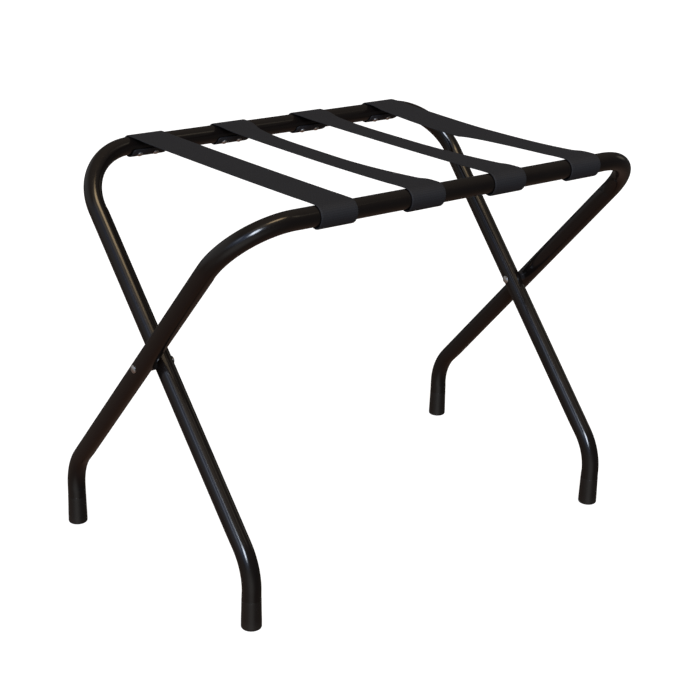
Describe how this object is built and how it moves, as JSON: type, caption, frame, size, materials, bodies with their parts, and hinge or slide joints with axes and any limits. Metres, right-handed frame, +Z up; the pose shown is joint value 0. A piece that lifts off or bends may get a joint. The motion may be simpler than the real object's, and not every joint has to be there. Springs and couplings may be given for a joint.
{
  "type": "folding luggage rack",
  "caption": "Low folding rack of two crossed bent-tube U frames with flat webbing straps across the top, for resting a suitcase on.",
  "frame": {"origin": "on the floor, under the middle of the open rack", "axes": "+X along the rails, -Y towards the outer frame's rail, +Z up"},
  "size_m": [0.6266, 0.392, 0.478],
  "materials": {
    "frame_paint": "gloss black",
    "foot_rubber": "matte black",
    "rivet_steel": "bright plated",
    "spacer_plastic": "satin black",
    "strap_webbing": "woven black"
  },
  "bodies": {
    "outer_frame": {"outer_frame_tube": "frame_paint", "outer_left_foot_tip": "foot_rubber", "outer_right_foot_tip": "foot_rubber", "left_pivot_rivet": "rivet_steel", "right_pivot_rivet": "rivet_steel", "left_pivot_spacer": "spacer_plastic", "right_pivot_spacer": "spacer_plastic", "strap_1_outer_wrap": "strap_webbing", "strap_1_outer_rivets": "rivet_steel", "strap_2_outer_wrap": "strap_webbing", "strap_2_outer_rivets": "rivet_steel", "strap_3_outer_wrap": "strap_webbing", "strap_3_outer_rivets": "rivet_steel", "strap_4_outer_wrap": "strap_webbing", "strap_4_outer_rivets": "rivet_steel"},
    "inner_frame": {"inner_frame_tube": "frame_paint", "inner_left_foot_tip": "foot_rubber", "inner_right_foot_tip": "foot_rubber", "strap_1_inner_wrap": "strap_webbing", "strap_1_inner_rivets": "rivet_steel", "strap_2_inner_wrap": "strap_webbing", "strap_2_inner_rivets": "rivet_steel", "strap_3_inner_wrap": "strap_webbing", "strap_3_inner_rivets": "rivet_steel", "strap_4_inner_wrap": "strap_webbing", "strap_4_inner_rivets": "rivet_steel"},
    "outer_strap_halves": {"strap_1_outer_half": "strap_webbing", "strap_2_outer_half": "strap_webbing", "strap_3_outer_half": "strap_webbing", "strap_4_outer_half": "strap_webbing"},
    "inner_strap_halves": {"strap_1_inner_half": "strap_webbing", "strap_2_inner_half": "strap_webbing", "strap_3_inner_half": "strap_webbing", "strap_4_inner_half": "strap_webbing"}
  },
  "joints": [
    {"name": "fold", "type": "hinge", "parent": "outer_frame", "child": "inner_frame", "pos_m": [0, 0, 0.262], "axis": [1, 0, 0], "range_deg": [0, 78]},
    {"name": "outer_strap_drop", "type": "hinge", "parent": "outer_frame", "child": "outer_strap_halves", "pos_m": [0, -0.183, 0.465], "axis": [-1, 0, 0], "range_deg": [0, 51.4], "deforming": ["strap_1_outer_half", "strap_2_outer_half", "strap_3_outer_half", "strap_4_outer_half"]},
    {"name": "inner_strap_drop", "type": "hinge", "parent": "inner_frame", "child": "inner_strap_halves", "pos_m": [0, 0.183, 0.465], "axis": [1, 0, 0], "range_deg": [0, 51.4], "deforming": ["strap_1_inner_half", "strap_2_inner_half", "strap_3_inner_half", "strap_4_inner_half"]}
  ],
  "couplings": [
    {"joint": "outer_strap_drop", "follows": "fold", "ratio": 0.65897},
    {"joint": "inner_strap_drop", "follows": "fold", "ratio": 0.65897}
  ]
}
